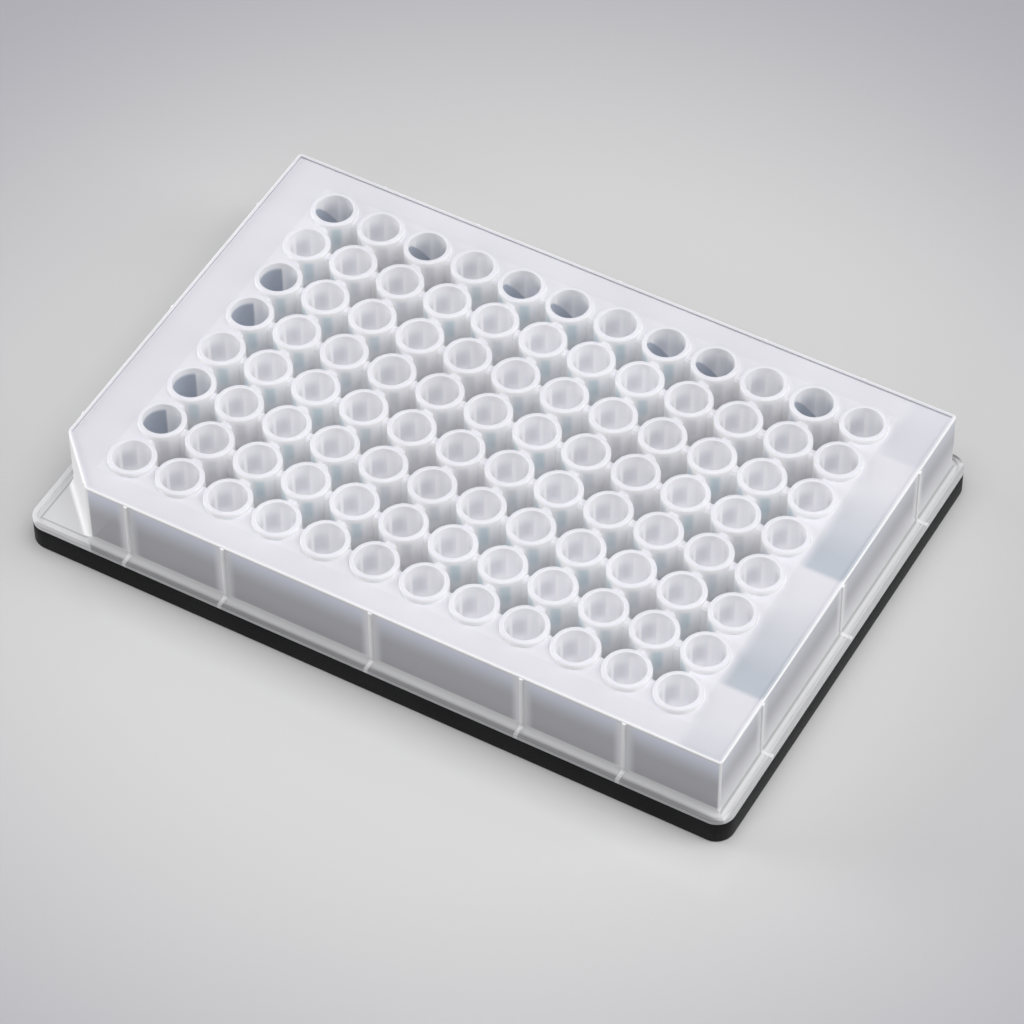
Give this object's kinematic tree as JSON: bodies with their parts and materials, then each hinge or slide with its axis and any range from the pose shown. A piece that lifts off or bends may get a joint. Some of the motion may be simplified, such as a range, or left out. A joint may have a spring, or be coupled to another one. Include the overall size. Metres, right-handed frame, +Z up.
{
  "type": "well plate",
  "caption": "Rectangular plate of round open wells in rows and columns, on a flanged skirt with one cut corner, seated in a dark base frame.",
  "frame": {"origin": "middle of the underside of the base frame, where the object rests", "axes": "+Z up, out of the wells; +X along the twelve columns, from column 1 to column 12; +Y along the rows, from row H to row A"},
  "size_m": [0.1278, 0.0854, 0.0178],
  "materials": {
    "natural_polypropylene": "translucent natural polypropylene, satin, slightly lavender white",
    "black_frame": "matt black moulded plastic"
  },
  "bodies": {
    "root": {"well_plate": "natural_polypropylene", "base_frame": "black_frame"}
  },
  "joints": []
}
